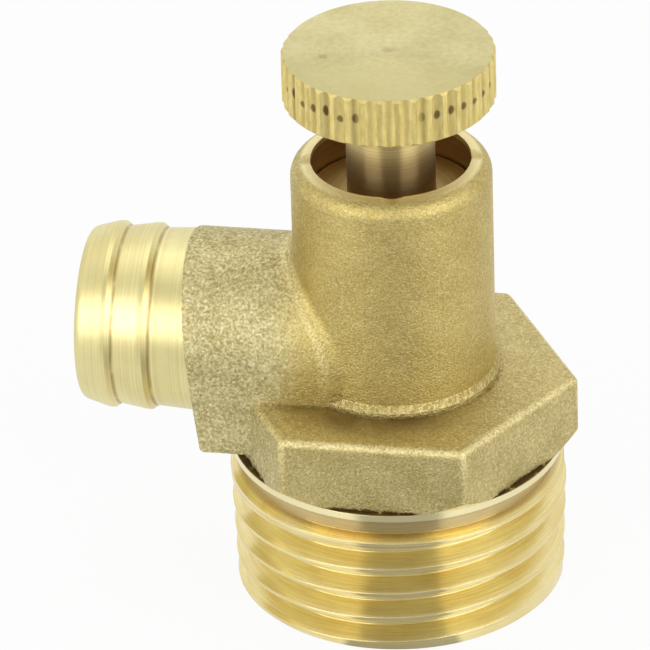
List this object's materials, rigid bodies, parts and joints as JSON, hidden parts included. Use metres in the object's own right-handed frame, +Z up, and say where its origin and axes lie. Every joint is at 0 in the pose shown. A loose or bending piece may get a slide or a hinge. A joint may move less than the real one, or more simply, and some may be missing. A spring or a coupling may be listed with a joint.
{
  "type": "drain cock",
  "caption": "Brass drain cock with a male taper pipe thread, hexagon, upright barrel, side hose tail and a knurled screw-down spindle.",
  "frame": {"origin": "centre of the end face of the male thread, on the axis of the thread and barrel", "axes": "+Z up the barrel to the knob, the hose tail points along -X, +Y completes a right-handed frame"},
  "size_m": [0.031, 0.0212, 0.0372],
  "materials": {
    "cast_brass": "cast and blasted, turned bright on the thread, hose tail and rim",
    "turned_brass": "turned bright, straight knurl on the knob",
    "seal_rubber": "smooth black nitrile",
    "jumper_brass": "turned",
    "washer_rubber": "moulded black rubber"
  },
  "bodies": {
    "body": {"valve_body": "cast_brass"},
    "valve_head": {"jumper": "jumper_brass", "valve_washer": "washer_rubber"},
    "screw": {"spindle": "turned_brass", "stem_o_ring": "seal_rubber"}
  },
  "joints": [
    {"name": "spindle_lift", "type": "slide", "parent": "body", "child": "valve_head", "axis": [0, 0, 1], "range_m": [0, 0.002]},
    {"name": "spindle_turn", "type": "hinge", "parent": "valve_head", "child": "screw", "pos_m": [0, 0, 0.02], "axis": [0, 0, 1], "range_deg": [0, 719]}
  ],
  "couplings": [
    {"joint": "spindle_lift", "follows": "spindle_turn", "m_per_rad": 0.00015915}
  ]
}
